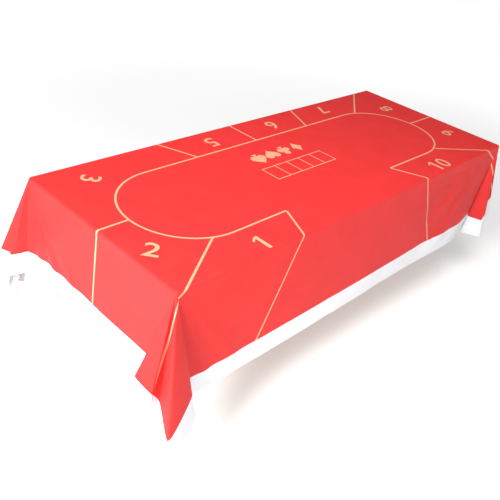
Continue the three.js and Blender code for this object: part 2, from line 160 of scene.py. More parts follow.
def corner_directions(folds, steps=720):
    """Directions from a deck corner, evenly spaced over the flat quarter turn of spare cloth.

    A smooth curve runs through the folds. Those between the first and the last are scaled until the curve is
    a quarter turn long, so that the cone that it makes unrolls flat."""
    first, last = np.array(folds[0], dtype=float), np.array(folds[-1], dtype=float)
    inner = np.array(folds[1:-1], dtype=float)

    def curve(scale):
        points = np.vstack([first, inner * scale, last])
        padded = np.vstack([first - (8, 0), points, last - (0, 8)])
        slopes = (padded[2:] - padded[:-2]) / 2 * FOLD_ROUNDING
        t = np.linspace(0, 1, 60, endpoint=False)[:, None]
        spans = []
        for p0, p1, m0, m1 in zip(points, points[1:], slopes, slopes[1:]):
            spans.append(p0 * (2 * t**3 - 3 * t**2 + 1) + m0 * (t**3 - 2 * t**2 + t)
                         + p1 * (3 * t**2 - 2 * t**3) + m1 * (t**3 - t**2))
        leans = np.vstack([*spans, points[-1:]])
        directions = lean_direction(leans[:, 0], leans[:, 1])
        along = np.linalg.norm(np.diff(directions, axis=0), axis=1).cumsum()
        return directions, np.concatenate([[0], along])

    low, high = 0.2, 4.0
    for _ in range(40):
        middle = (low + high) / 2
        if curve(middle)[1][-1] < math.pi / 2:
            low = middle
        else:
            high = middle
    directions, along = curve(low)
    wanted = np.linspace(0, along[-1], steps + 1)
    table = np.stack([np.interp(wanted, along, directions[:, axis]) for axis in range(3)], axis=1)
    return table / np.linalg.norm(table, axis=1)[:, None]


def fade(distance):
    """1 at a corner, falling smoothly to 0 at LEAN_REACH from it."""
    part = np.clip(distance / LEAN_REACH, 0, 1)
    return 1 - part * part * (3 - 2 * part)


def hung_shape(u, v):
    """Where each point of the flat cloth starts, with the deck's cloth at z = 0.

    It lies flat on the deck, bends over the edges, hangs down the sides and is gathered at the corners."""
    past_end = np.maximum(np.abs(u) - BEND_X, 0)
    past_side = np.maximum(np.abs(v) - BEND_Y, 0)
    end_sign, side_sign = np.sign(u), np.sign(v)
    far = np.hypot(past_end, past_side)
    turn = np.arctan2(past_end, past_side)
    outward = np.stack([end_sign * np.sin(turn), side_sign * np.cos(turn), np.zeros(u.shape)], axis=-1)
    direction = np.zeros((*u.shape, 3))
    direction[..., 2] = -1
    side_lean, end_lean = np.zeros((*u.shape, 2)), np.zeros((*u.shape, 2))
    side_share, end_share = np.zeros(u.shape), np.zeros(u.shape)
    for (end, side), folds in CORNER_FOLDS.items():
        x_sign = -1 if end == "left" else 1
        y_sign = -1 if side == "front" else 1
        here = (past_end > 0) & (past_side > 0) & (end_sign == x_sign) & (side_sign == y_sign)
        table = corner_directions(folds)
        place = turn[here] / (math.pi / 2) * (len(table) - 1)
        index = np.minimum(place.astype(int), len(table) - 2)
        part = (place - index)[:, None]
        direction[here] = (table[index] * (1 - part) + table[index + 1] * part) * (x_sign, y_sign, 1)
        along_side = fade(np.abs(x_sign * BEND_X - u)) * (side_sign == y_sign)
        along_end = fade(np.abs(y_sign * BEND_Y - v)) * (end_sign == x_sign)
        side_lean += along_side[..., None] * np.array(folds[0]) * (x_sign, y_sign)
        end_lean += along_end[..., None] * np.array(folds[-1]) * (x_sign, y_sign)
        side_share += along_side
        end_share += along_end
    for signs, share, leans, low_side, high_side in ((side_sign, side_share, side_lean, "front", "back"),
                                                     (end_sign, end_share, end_lean, "left", "right")):
        middle = np.where((signs < 0)[..., None], DROP_LEANS[low_side], DROP_LEANS[high_side])
        leans += (1 - np.minimum(share, 1))[..., None] * middle
    on_side = (past_side > 0) & (past_end <= 0)
    on_end = (past_end > 0) & (past_side <= 0)
    direction[on_side] = lean_direction(side_lean[on_side][:, 0], side_lean[on_side][:, 1])
    direction[on_end] = lean_direction(end_lean[on_end][:, 0], end_lean[on_end][:, 1])
    bend = np.minimum(far, BEND_LENGTH) / BEND_RADIUS
    points = np.stack([np.clip(u, -BEND_X, BEND_X), np.clip(v, -BEND_Y, BEND_Y), np.zeros(u.shape)], axis=-1)
    points += outward * (BEND_RADIUS * np.sin(bend))[..., None]
    points[..., 2] -= BEND_RADIUS * (1 - np.cos(bend))
    points += direction * np.maximum(far - BEND_LENGTH, 0)[..., None]
    points[..., :2] += crease_rise(u, v)
    return points


def crease_rise(u, v):
    """How far the drops stand out, along X and along Y, in the creases that fan out from the corners."""
    rise = np.zeros((*u.shape, 2))
    for (drop, corner), creases in FANNED_CREASES.items():
        x_sign = -1 if "left" in (drop, corner) else 1
        y_sign = -1 if "front" in (drop, corner) else 1
        past_end, past_side = x_sign * u - BEND_X, y_sign * v - BEND_Y
        on_end = drop in ("left", "right")
        down, along = (past_end, -past_side) if on_end else (past_side, -past_end)
        reach = np.hypot(down, along)
        slope = np.degrees(np.arctan2(down, np.maximum(along, 1e-6)))
        height = sum(top * np.exp(-((slope - middle) / width) ** 2) for middle, top, width in creases)
        height *= np.clip((reach - 0.06) / 0.3, 0, 1) * np.clip((1.25 - reach) / 0.8, 0, 1)
        height *= np.clip(down / 0.03, 0, 1) * np.clip(along / 0.03, 0, 1)
        rise[..., 0 if on_end else 1] += height * (x_sign if on_end else y_sign)
    return rise


def cloth_limits():
    """The flat cloth's lowest and highest corners, and those of its print."""
    centre, cut, printed = np.array(CLOTH_CENTRE), np.array(CLOTH_SIZE), np.array(PRINT_SIZE)
    return centre - cut / 2, centre + cut / 2, centre - printed / 2, centre + printed / 2


def even_lines(low, high, step):
    return np.linspace(low, high, max(1, math.ceil((high - low) / step)) + 1)


# ---------------------------------------------------------------- the drape

def collision_deck():
    """A stand-in for the two decks, for the cloth to lie on while it is simulated."""
    depth = 0.05
    low = Vector((-HALF_LENGTH, -HALF_WIDTH, -depth))
    high = Vector((HALF_LENGTH, HALF_WIDTH, -CLOTH_REST))
    corners = [(x, y, z) for z in (low.z, high.z) for y in (low.y, high.y) for x in (low.x, high.x)]
    faces = [(0, 2, 3, 1), (4, 5, 7, 6), (0, 1, 5, 4), (2, 6, 7, 3), (0, 4, 6, 2), (1, 3, 7, 5)]
    mesh = bpy.data.meshes.new("deck_stand_in")
    mesh.from_pydata(corners, [], faces)
    deck = bpy.data.objects.new("deck_stand_in", mesh)
    bpy.context.scene.collection.objects.link(deck)
    bevel = deck.modifiers.new("edges", "BEVEL")
    bevel.width = BEND_INSET
    bevel.segments = 2
    deck.modifiers.new("collision", "COLLISION")
    deck.collision.thickness_outer = 0.001
    deck.collision.thickness_inner = 0.02
    return deck


def hold_weight(u, v):
    """How firmly each point keeps its starting place: fully on the deck, softly in the gathered corners."""
    past_end = np.maximum(np.abs(u) - BEND_X, 0)
    past_side = np.maximum(np.abs(v) - BEND_Y, 0)
    held, free = HELD_STRIP
    near_deck = np.clip((free - np.hypot(past_end, past_side)) / (free - held), 0, 1)
    gathered = np.clip(np.minimum(past_end, past_side) / 0.06, 0, 1)
    return np.maximum.reduce([near_deck**2, GATHER_HOLD * gathered, np.full(u.shape, DROP_HOLD)])


def settle(u, v, start):
    """Simulates the cloth from its hung shape, with its flat cut as its rest shape."""
    flat = np.stack([u.ravel(), v.ravel(), np.zeros(u.size)], axis=1)
    index = np.arange(u.size).reshape(u.shape)
    quads = np.stack([index[:-1, :-1], index[1:, :-1], index[1:, 1:], index[:-1, 1:]], axis=-1).reshape(-1, 4)
    mesh = bpy.data.meshes.new("drape")
    mesh.from_pydata(start.reshape(-1, 3).tolist(), [], quads.tolist())
    cloth = bpy.data.objects.new("drape", mesh)
    bpy.context.scene.collection.objects.link(cloth)
    cloth.shape_key_add(name="hung")
    cut = cloth.shape_key_add(name="cut")
    cut.data.foreach_set("co", flat.ravel())
    held = cloth.vertex_groups.new(name="held")
    weights = np.round(hold_weight(u.ravel(), v.ravel()), 2)
    for weight in np.unique(weights):
        held.add(np.nonzero(weights == weight)[0].tolist(), float(weight), "REPLACE")
    deck = collision_deck()
    modifier = cloth.modifiers.new("cloth", "CLOTH")
    settings = modifier.settings
    settings.rest_shape_key = cut
    settings.vertex_group_mass = "held"
    settings.pin_stiffness = 1.0
    settings.quality = 8
    settings.mass = 0.3
    settings.tension_stiffness = 60
    settings.compression_stiffness = 60
    settings.shear_stiffness = 12
    settings.bending_stiffness = 0.1
    settings.bending_damping = 0.5
    settings.air_damping = 1.0
    collision = modifier.collision_settings
    collision.distance_min = 0.001
    collision.collision_quality = 2
    modifier.point_cache.frame_end = DRAPE_FRAMES
    scene = bpy.context.scene
    for number in range(1, DRAPE_FRAMES + 1):
        scene.frame_set(number)
    settled = cloth.evaluated_get(bpy.context.evaluated_depsgraph_get()).to_mesh()
    points = np.empty(len(settled.vertices) * 3)
    settled.vertices.foreach_get("co", points)
    for used in (cloth, deck):
        bpy.data.objects.remove(used, do_unlink=True)
    scene.frame_set(1)
    return points.reshape(start.shape)


class Drape:
    """The draped cloth as a smooth surface over its flat cut: the hung shape, moved by what the simulation
    did to it, which is read between the simulation's points with bicubic patches."""

    def __init__(self):
        low, high, _, _ = cloth_limits()
        self.xs = even_lines(low[0], high[0], SIM_STEP)
        self.ys = even_lines(low[1], high[1], SIM_STEP)
        u, v = np.meshgrid(self.xs, self.ys, indexing="ij")
        start = hung_shape(u, v)
        self.moved = settle(u, v, start) - start

    @staticmethod
    def weights(part):
        """Catmull-Rom weights of the four points around a place between the middle two."""
        return np.stack([-part + 2 * part**2 - part**3, 2 - 5 * part**2 + 3 * part**3,
                         part + 4 * part**2 - 3 * part**3, -part**2 + part**3]) / 2

    def at(self, u, v):
        """The points of the draped surface, with the printed face on the deck at the height that it lies."""
        place_x = (u - self.xs[0]) / (self.xs[1] - self.xs[0])
        place_y = (v - self.ys[0]) / (self.ys[1] - self.ys[0])
        i = np.clip(np.floor(place_x).astype(int), 0, len(self.xs) - 2)
        j = np.clip(np.floor(place_y).astype(int), 0, len(self.ys) - 2)
        across, along = self.weights(place_x - i), self.weights(place_y - j)
        moved = np.zeros((len(u), 3))
        for a in range(4):
            for b in range(4):
                row = np.clip(i + a - 1, 0, len(self.xs) - 1)
                column = np.clip(j + b - 1, 0, len(self.ys) - 1)
                moved += self.moved[row, column] * (across[a] * along[b])[:, None]
        past_deck = np.hypot(np.maximum(np.abs(u) - BEND_X, 0), np.maximum(np.abs(v) - BEND_Y, 0))
        hanging = np.clip((past_deck - BEND_LENGTH) / 0.02, 0, 1)
        points = hung_shape(u, v) + moved * hanging[:, None]
        points[:, 2] += DECK_TOP + CLOTH_REST
        return points

    def normals(self, u, v, reach=0.002):
        """Unit normals of the draped surface, on its printed side."""
        along_x = self.at(u + reach, v) - self.at(u - reach, v)
        along_y = self.at(u, v + reach) - self.at(u, v - reach)
        normal = np.cross(along_x, along_y)
        return normal / np.maximum(np.linalg.norm(normal, axis=1), 1e-12)[:, None]


# ---------------------------------------------------------------- the printed layout, in the flat cloth

def ribbon(points, width):
    """The outline of a line of that width along a row of points."""
    points = np.array(points, dtype=float)
    steps = np.diff(points, axis=0)
    steps /= np.linalg.norm(steps, axis=1)[:, None]
    sides = np.stack([-steps[:, 1], steps[:, 0]], axis=1)
    joints = np.vstack([sides[:1], sides[:-1] + sides[1:], sides[-1:]])
    joints /= np.linalg.norm(joints, axis=1)[:, None]
    reference = np.vstack([sides, sides[-1:]])
    mitre = width / 2 / np.maximum((joints * reference).sum(axis=1), 0.4)
    return np.vstack([points + joints * mitre[:, None], (points - joints * mitre[:, None])[::-1]])


def track_line():
    """The betting line: a stadium, open towards the dealer."""
    radius = (TRACK["back"] - TRACK["front"]) / 2
    middle = (TRACK["back"] + TRACK["front"]) / 2
    turn = np.linspace(0, math.pi, 33)
    across, along = radius * np.cos(turn), radius * np.sin(turn)
    left = np.stack([TRACK["left"] + radius - along, middle - across], axis=1)
    right = np.stack([TRACK["right"] - radius + along, middle + across], axis=1)
    start = [(DEALER_GAP[0], TRACK["front"])]
    end = [(DEALER_GAP[1], TRACK["front"])]
    return np.vstack([start, left, right, end])


def divider_line(start, heading):
    """A divider from the track to just past the edge of the print."""
    reach = 2.0
    direction = np.array(heading) / np.hypot(*heading)
    start = np.array(start)
    tail = start - direction * LINE_WIDTH * 0.3
    return [tail, start + direction * reach]


def card_box_lines():
    """The outline of the row of card boxes, and the lines between them."""
    xs = np.linspace(CARD_BOXES["left"], CARD_BOXES["right"], CARD_BOXES["count"] + 1)
    front, back = CARD_BOXES["front"], CARD_BOXES["back"]
    half = BOX_LINE_WIDTH / 2
    lines = [[(xs[0] - half, y), (xs[-1] + half, y)] for y in (front, back)]
    lines += [[(x, front), (x, back)] for x in xs]
    return lines


def pip_outlines():
    """Four card suits for the middle of the cloth, each as outlines one unit high, tops towards +Y."""
    turn = np.linspace(0, 2 * math.pi, 48, endpoint=False)
    heart = np.stack([16 * np.sin(turn)**3, 13 * np.cos(turn) - 5 * np.cos(2 * turn) - 2 * np.cos(3 * turn)
                      - np.cos(4 * turn)], axis=1) / 30
    diamond = np.array([(0, 0.52), (0.19, 0.23), (0.38, 0), (0.19, -0.23), (0, -0.52), (-0.19, -0.23),
                        (-0.38, 0), (-0.19, 0.23)])
    stalk = np.array([(-0.05, 0.0), (0.05, 0.0), (0.07, -0.3), (0.2, -0.5), (-0.2, -0.5), (-0.07, -0.3)])
    spade = heart * (1, -1) + (0, 0.08)
    circle = np.stack([np.cos(turn), np.sin(turn)], axis=1) * 0.215
    club = [circle + (0, 0.26), circle + (-0.24, -0.09), circle + (0.24, -0.09)]
    centre = np.array([(-0.1, 0.15), (-0.14, -0.12), (0.14, -0.12), (0.1, 0.15)])
    return [[spade, stalk], [heart], [*club, centre, stalk], [diamond]]


def emblem_outlines():
    """The row of pips, placed so that it reads from the back of the table."""
    outlines = []
    suits = pip_outlines()
    for number, suit in enumerate(suits):
        x = EMBLEM["centre"][0] + (number - (len(suits) - 1) / 2) * EMBLEM["pitch"]
        for outline in suit:
            outlines.append(outline * -EMBLEM["height"] + (x, EMBLEM["centre"][1]))
    return outlines


def numeral_faces(text, place, tops):
    """A seat number as flat faces, from Blender's own plain font."""
    curve = bpy.data.curves.new("numeral", "FONT")
    curve.body = text
    curve.resolution_u = 3
    curve.offset = 0.009
    holder = bpy.data.objects.new("numeral", curve)
    bpy.context.scene.collection.objects.link(holder)
    bpy.context.view_layer.update()
    mesh = holder.evaluated_get(bpy.context.evaluated_depsgraph_get()).to_mesh()
    points = np.array([vertex.co[:2] for vertex in mesh.vertices])
    faces = [list(face.vertices) for face in mesh.polygons]
    bpy.data.objects.remove(holder, do_unlink=True)
    low, high = points.min(axis=0), points.max(axis=0)
    scale = NUMERAL_HEIGHT / (high[1] - low[1])
    points = (points - (low + high) / 2) * scale * (NUMERAL_STRETCH, 1)
    if text.startswith("1"):
        left, top = points[:, 0].min(), points[:, 1].max()
        flag = [(0.0, 0.0), (-0.26, -0.20), (-0.26, -0.33), (0.02, -0.13)]
        faces.append([len(points) + index for index in range(len(flag))])
        points = np.vstack([points, np.array(flag) * NUMERAL_HEIGHT + (left, top)])
    angle = math.radians(tops - 90)
    turn = np.array([[math.cos(angle), math.sin(angle)], [-math.sin(angle), math.cos(angle)]])
    return points @ turn + np.array(place), faces


def printed_shapes():
    """Everything printed in gold: outlines, each as points and faces."""
    ribbons = [ribbon(track_line(), LINE_WIDTH)]
    ribbons += [ribbon(divider_line(*divider), LINE_WIDTH) for divider in DIVIDERS]
    ribbons += [ribbon(line, BOX_LINE_WIDTH) for line in card_box_lines()]
    outlines = ribbons + emblem_outlines()
    shapes = [(outline, None) for outline in outlines]
    shapes += [numeral_faces(*numeral) for numeral in NUMERALS]
    return shapes


def at_bend(point):
    """Whether a point of the flat cloth lies where the cloth turns over the deck's edge."""
    return any(-0.01 < abs(place) - bend < 0.025 for place, bend in zip(point, (BEND_X, BEND_Y)))


def subdivided(outline):
    """The same closed outline with extra points, closer together where the cloth bends."""
    outline = np.asarray(outline, dtype=float)
    points = []
    for start, end in zip(outline, np.roll(outline, -1, axis=0)):
        parts = max(1, math.ceil(np.linalg.norm(end - start) / OUTLINE_STEP))
        for part in range(parts):
            place = start + (end - start) * part / parts
            points.append(place)
            if at_bend(place):
                points.extend(place + (end - start) / parts * share for share in (0.25, 0.5, 0.75))
    return np.array(points)


def counter_clockwise(points, loop):
    """The same loop of points, turned round if it runs clockwise."""
    x, y = points[loop].T
    area = (x * np.roll(y, -1) - np.roll(x, -1) * y).sum()
    return loop if area > 0 else loop[::-1]


def clip_to(outline, low, high):
    """Cuts a convex outline to a rectangle."""
    points = [np.array(point) for point in outline]
    sides = [(0, low[0], False), (0, high[0], True), (1, low[1], False), (1, high[1], True)]
    for axis, limit, keep_below in sides:
        def inside(point):
            return point[axis] <= limit if keep_below else point[axis] >= limit
        kept = []
        for current, following in zip(points, points[1:] + points[:1]):
            if inside(current):
                kept.append(current)
            if inside(current) != inside(following):
                part = (limit - current[axis]) / (following[axis] - current[axis])
                kept.append(current + part * (following - current))
        points = kept
    return np.array(points)


# ---------------------------------------------------------------- the finished cloth

RED, GOLD, WHITE, REVERSE, WHITE_REVERSE = range(5)


def fine_points():
    """Points of the finished mesh: a grid on the deck and the drops, and rays round the gathered corners."""
    low, high, _, _ = cloth_limits()
    bend = np.array([0, 0.35, 0.7, 1.0, 1.6]) * BEND_LENGTH

    def along(inner, limit, sign):
        past_edge = np.concatenate([bend, even_lines(bend[-1], abs(limit) - inner, FINE_STEP)[1:]])
        return inner * sign + sign * past_edge

    drops_x = [along(BEND_X, low[0], -1), along(BEND_X, high[0], 1)]
    drops_y = [along(BEND_Y, low[1], -1), along(BEND_Y, high[1], 1)]
    deck_x, deck_y = even_lines(-BEND_X, BEND_X, FINE_STEP), even_lines(-BEND_Y, BEND_Y, FINE_STEP)
    wide_x, wide_y = even_lines(-BEND_X, BEND_X, DECK_STEP), even_lines(-BEND_Y, BEND_Y, DECK_STEP)
    blocks = [np.meshgrid(wide_x, wide_y)]
    blocks += [np.meshgrid(drop, deck_y) for drop in drops_x]
    blocks += [np.meshgrid(deck_x, drop) for drop in drops_y]
    between_x, between_y = (deck_x[1:] + deck_x[:-1]) / 2, (deck_y[1:] + deck_y[:-1]) / 2
    blocks += [np.meshgrid(drop[:3], between_y) for drop in drops_x]
    blocks += [np.meshgrid(between_x, drop[:3]) for drop in drops_y]
    turns = even_lines(0, math.pi / 2, RAY_STEP)
    far = np.concatenate([bend[1:], even_lines(bend[-1], 0.7, FINE_STEP)[1:]])
    for x_sign, y_sign in ((-1, -1), (-1, 1), (1, -1), (1, 1)):
        turn, reach = np.meshgrid(turns, far)
        u = x_sign * (BEND_X + reach * np.sin(turn))
        v = y_sign * (BEND_Y + reach * np.cos(turn))
        inside = (u > low[0]) & (u < high[0]) & (v > low[1]) & (v < high[1])
        blocks.append((u[inside], v[inside]))
        rim = even_lines(0, 0.5, FINE_STEP)
        limit_x, limit_y = (low, high)[x_sign > 0][0], (low, high)[y_sign > 0][1]
        rim_x, rim_y = x_sign * (BEND_X + rim), y_sign * (BEND_Y + rim)
        rim_x, rim_y = rim_x[np.abs(rim_x) < abs(limit_x)], rim_y[np.abs(rim_y) < abs(limit_y)]
        blocks.append((rim_x, np.full(rim_x.shape, limit_y)))
        blocks.append((np.full(rim_y.shape, limit_x), rim_y))
    return np.concatenate([np.stack([u.ravel(), v.ravel()], axis=1) for u, v in blocks])


def flat_cut():
    """The flat cloth cut into triangles along every printed edge. Gives points, triangles and their ink."""
    low, high, print_low, print_high = cloth_limits()
    points = fine_points().tolist()
    faces, kinds = [], []

    def add_face(outline, kind, loops=None):
        first = len(points)
        outline = np.asarray(outline) if loops else subdivided(outline)
        points.extend(outline.tolist())
        for loop in loops or [list(range(len(outline)))]:
            faces.append([first + index for index in counter_clockwise(outline, loop)])
            kinds.append(kind)

    def rectangle(corner, opposite):
        (x0, y0), (x1, y1) = corner, opposite
        return [(x0, y0), (x1, y0), (x1, y1), (x0, y1)]

    add_face(rectangle(low, high), WHITE)
    add_face(rectangle(print_low, print_high), RED)
    for outline, loops in printed_shapes():
        if len(outline) == 4:
            outline = clip_to(outline, print_low, print_high)
            loops = None
        add_face(outline, GOLD, loops)
    cut_points, _, triangles, _, _, owners = delaunay_2d_cdt(
        [Vector(point) for point in points], [], faces, 1, 1e-6, True)
    ink = []
    for owner in owners:
        found = {kinds[index] for index in owner}
        ink.append(GOLD if GOLD in found else RED if RED in found else WHITE)
    flat = np.array([tuple(point) for point in cut_points])
    return flat, np.array([list(triangle) for triangle in triangles]), np.array(ink)


def hem_rise(flat):
    """How far the folded hem stands proud of the single cloth, and its gentle pucker along the stitches."""
    low, high, _, _ = cloth_limits()
    from_edge = np.minimum(flat - low, high - flat).min(axis=1)
    inside = np.clip((HEM_WIDTH + 0.004 - from_edge) / 0.006, 0, 1)
    pucker = np.sin(flat[:, 0] * 410) * np.sin(flat[:, 1] * 395 + 1.0)
    return inside * (0.00045 + 0.00022 * pucker)


def point_normals(points, triangles):
    """Unit normals at points, from the triangles round them, the larger ones counting for more."""
    corners = points[triangles]
    facing = np.cross(corners[:, 1] - corners[:, 0], corners[:, 2] - corners[:, 0])
    normal = np.zeros(points.shape)
    for corner in range(3):
        np.add.at(normal, triangles[:, corner], facing)
    return normal / np.maximum(np.linalg.norm(normal, axis=1), 1e-15)[:, None]


def cloth_piece(surface, flat, triangles, ink, materials):
    """The cloth: its printed face, its reverse a little behind it, and the cut edge round both."""
    rise = hem_rise(flat)
    place = surface.at(flat[:, 0], flat[:, 1])
    normal = point_normals(place, triangles)
    front = place + normal * rise[:, None]
    back = place - normal * (CLOTH_THICKNESS + rise)[:, None]
    count = len(flat)
    directed = np.concatenate([triangles[:, [0, 1]], triangles[:, [1, 2]], triangles[:, [2, 0]]])
    edges = np.sort(directed, axis=1)
    _, first, repeats = np.unique(edges, axis=0, return_index=True, return_counts=True)
    rim = directed[first[repeats == 1]]
    faces = triangles.tolist()
    faces += (triangles[:, ::-1] + count).tolist()
    faces += [[b, a, a + count, b + count] for a, b in rim.tolist()]
    mesh = bpy.data.meshes.new("layout_cloth_fabric")
    mesh.from_pydata(np.vstack([front, back]).tolist(), [], faces)
    reverse = np.where(ink == WHITE, WHITE_REVERSE, REVERSE)
    slots = np.concatenate([ink, reverse, np.full(len(rim), WHITE)])
    mesh.polygons.foreach_set("material_index", slots.astype(np.int32))
    mesh.polygons.foreach_set("use_smooth", np.ones(len(faces), dtype=bool))
    layer = mesh.uv_layers.new(name="flat")
    corner_points = np.empty(len(mesh.loops), dtype=np.int32)
    mesh.loops.foreach_get("vertex_index", corner_points)
    layer.data.foreach_set("uv", np.vstack([flat, flat])[corner_points].ravel())
    mesh.normals_split_custom_set_from_vertices(np.vstack([normal, -normal]).tolist())
    for made in materials:
        mesh.materials.append(made)
    piece = bpy.data.objects.new("layout_cloth_fabric", mesh)
    bpy.context.scene.collection.objects.link(piece)
    return piece


def stitch_piece(surface, material):
    """The hem's running stitches, as small rounded threads lying on the cloth."""
    low, high, _, _ = cloth_limits()
    low, high = low + HEM_WIDTH, high - HEM_WIDTH
    pitch, length, radius = 0.0056, 0.0038, 0.00035
    corners = [(low[0], low[1]), (high[0], low[1]), (high[0], high[1]), (low[0], high[1])]
    starts, ends = [], []
    for a, b in zip(corners, corners[1:] + corners[:1]):
        a, b = np.array(a), np.array(b)
        span = np.linalg.norm(b - a)
        along = (b - a) / span
        for place in np.arange(pitch / 2, span - length, pitch):
            starts.append(a + along * place)
            ends.append(a + along * (place + length))
    starts, ends = np.array(starts), np.array(ends)
    points, faces = [], []
    middle = (starts + ends) / 2
    rise = hem_rise(middle)
    ring_turn = np.linspace(0, 2 * math.pi, 6, endpoint=False)
    first = surface.at(starts[:, 0], starts[:, 1])
    last = surface.at(ends[:, 0], ends[:, 1])
    normal = surface.normals(middle[:, 0], middle[:, 1])
    for a, b, up, extra in zip(first, last, normal, rise):
        along = (b - a) / max(np.linalg.norm(b - a), 1e-9)
        side = np.cross(along, up)
        centre_a = a + up * (extra + radius * 0.6)
        centre_b = b + up * (extra + radius * 0.6)
        rings = [(centre_a, -0.3, 0.3), (centre_a, 0.5, 1), (centre_b, -0.5, 1), (centre_b, 0.3, 0.3)]
        base = len(points)
        for centre, inset, size in rings:
            offset = along * inset * radius
            for turn in ring_turn:
                points.append(centre + offset + size * radius * (math.cos(turn) * side + math.sin(turn) * up))
        ring = len(ring_turn)
        for level in range(3):
            for index in range(ring):
                following = (index + 1) % ring
                faces.append([base + level * ring + index, base + level * ring + following,
                              base + (level + 1) * ring + following, base + (level + 1) * ring + index])
        faces.append([base + index for index in range(ring)][::-1])
        faces.append([base + 3 * ring + index for index in range(ring)])
    mesh = bpy.data.meshes.new("hem_stitches")
    mesh.from_pydata([tuple(point) for point in points], [], faces)
    mesh.polygons.foreach_set("use_smooth", np.ones(len(faces), dtype=bool))
    mesh.materials.append(material)
    mesh.validate()
    piece = bpy.data.objects.new("hem_stitches", mesh)
    bpy.context.scene.collection.objects.link(piece)
    return piece


# ---------------------------------------------------------------- materials

class Nodes:
    """A short way to write a node tree."""

    def __init__(self, name):
        self.material = bpy.data.materials.new(name)
        self.material.use_nodes = True
        self.tree = self.material.node_tree
        self.shader = self.tree.nodes["Principled BSDF"]

    def add(self, kind, **values):
        node = self.tree.nodes.new(kind)
        for key, value in values.items():
            if key in node.inputs:
                node.inputs[key].default_value = value
            else:
                setattr(node, key, value)
        return node

    def link(self, source, target):
        self.tree.links.new(source, target)

    def set(self, **values):
        for key, value in values.items():
            self.shader.inputs[key.replace("_", " ")].default_value = value

    def coordinates(self, kind, scale):
        place = self.add("ShaderNodeTexCoord")
        mapping = self.add("ShaderNodeMapping")
        mapping.inputs["Scale"].default_value = scale
        self.link(place.outputs[kind], mapping.inputs["Vector"])
        return mapping.outputs["Vector"]

    def noise(self, vector, scale, detail=4.0, roughness=0.5):
        node = self.add("ShaderNodeTexNoise")
        node.inputs["Scale"].default_value = scale
        node.inputs["Detail"].default_value = detail
        node.inputs["Roughness"].default_value = roughness
        self.link(vector, node.inputs["Vector"])
        return node.outputs["Fac"]

    def ramp(self, value, stops):
        node = self.add("ShaderNodeValToRGB")
        ramp = node.color_ramp
        ramp.elements[0].position, ramp.elements[0].color = stops[0][0], (*stops[0][1], 1)
        ramp.elements[1].position, ramp.elements[1].color = stops[-1][0], (*stops[-1][1], 1)
        for position, color in stops[1:-1]:
            ramp.elements.new(position).color = (*color, 1)
        self.link(value, node.inputs["Fac"])
        return node.outputs["Color"]

    def math(self, operation, first, second=None):
        node = self.add("ShaderNodeMath", operation=operation)
        for socket, value in zip(node.inputs, (first, second)):
            if value is None:
                continue
            if isinstance(value, (int, float)):
                socket.default_value = value
            else:
                self.link(value, socket)
        return node.outputs[0]

    def mixed(self, first, second, share):
        """The two values added together, the second counting for that share."""
        return self.math("ADD", self.math("MULTIPLY", first, 1 - share), self.math("MULTIPLY", second, share))

    def scaled(self, value, factor, offset):
        return self.math("ADD", self.math("MULTIPLY", value, factor), offset)

    def bump(self, height, strength, distance, normal=None):
        node = self.add("ShaderNodeBump")
        node.inputs["Strength"].default_value = strength
        node.inputs["Distance"].default_value = distance
        self.link(height, node.inputs["Height"])
        if normal is not None:
            self.link(normal, node.inputs["Normal"])
        self.link(node.outputs["Normal"], self.shader.inputs["Normal"])
        return node.outputs["Normal"]


def fabric(name, dark, light, roughness, sheen, sheen_tint):
    """Smooth woven polyester: crossed threads, faint slubs and a soft mottle in the dye."""
    made = Nodes(name)
    flat = made.coordinates("UV", (1, 1, 1))
    warp = made.add("ShaderNodeTexWave", wave_type="BANDS", bands_direction="X")
    weft = made.add("ShaderNodeTexWave", wave_type="BANDS", bands_direction="Y")
    for wave in (warp, weft):
        wave.inputs["Scale"].default_value = 560
        wave.inputs["Distortion"].default_value = 0.6
        wave.inputs["Detail"].default_value = 1
        made.link(flat, wave.inputs["Vector"])
    weave = made.math("MULTIPLY", warp.outputs["Fac"], weft.outputs["Fac"])
    mottle = made.noise(flat, 9.0, 5, 0.6)
    slub = made.noise(made.coordinates("UV", (14, 900, 1)), 1.0, 3, 0.7)
    tone = made.mixed(mottle, slub, 0.25)
    made.link(made.ramp(tone, [(0.30, dark), (0.70, light)]), made.shader.inputs["Base Color"])
    made.link(made.scaled(mottle, 0.10, roughness - 0.05), made.shader.inputs["Roughness"])
    threads = made.bump(weave, 0.35, 0.0002)
    made.bump(mottle, 0.10, 0.002, threads)
    made.set(Sheen_Weight=sheen, Sheen_Roughness=0.35, Sheen_Tint=(*sheen_tint, 1), Specular_IOR_Level=0.07)
    return made.material


